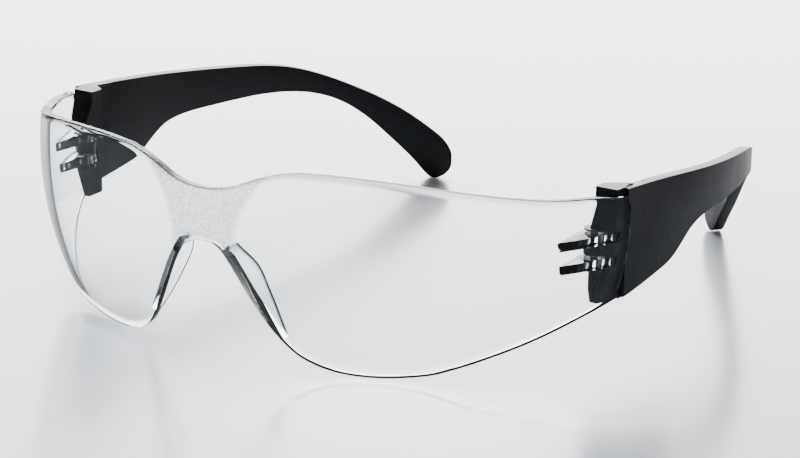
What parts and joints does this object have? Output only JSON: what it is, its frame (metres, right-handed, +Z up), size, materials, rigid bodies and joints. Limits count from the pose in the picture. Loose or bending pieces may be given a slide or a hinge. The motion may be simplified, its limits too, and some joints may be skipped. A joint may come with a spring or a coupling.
{
  "type": "safety glasses",
  "caption": "Clear wrap-round shield spectacles with nose flanges moulded in and two black folding temples on vertical hinge pins.",
  "frame": {"origin": "middle of the footprint on the table under the open glasses", "axes": "+X towards the wearer's left, +Y from the shield back to the temple tips, +Z up"},
  "size_m": [0.1454, 0.1658, 0.0451],
  "materials": {
    "clear_lens": "clear polished polycarbonate, finely frosted across the bridge",
    "black_temple": "black nylon with a fine satin texture",
    "steel_pin": "plain steel wire pin"
  },
  "bodies": {
    "shield": {"shield_lens": "clear_lens"},
    "left_arm": {"left_temple": "black_temple", "left_hinge_pin": "steel_pin"},
    "right_arm": {"right_temple": "black_temple", "right_hinge_pin": "steel_pin"}
  },
  "joints": [
    {"name": "left_temple_fold", "type": "hinge", "parent": "shield", "child": "left_arm", "pos_m": [0.06524, -0.0337, 0.025], "axis": [0, 0, 1], "range_deg": [0, 84]},
    {"name": "right_temple_fold", "type": "hinge", "parent": "shield", "child": "right_arm", "pos_m": [-0.06524, -0.0337, 0.025], "axis": [0, 0, -1], "range_deg": [0, 70]}
  ]
}
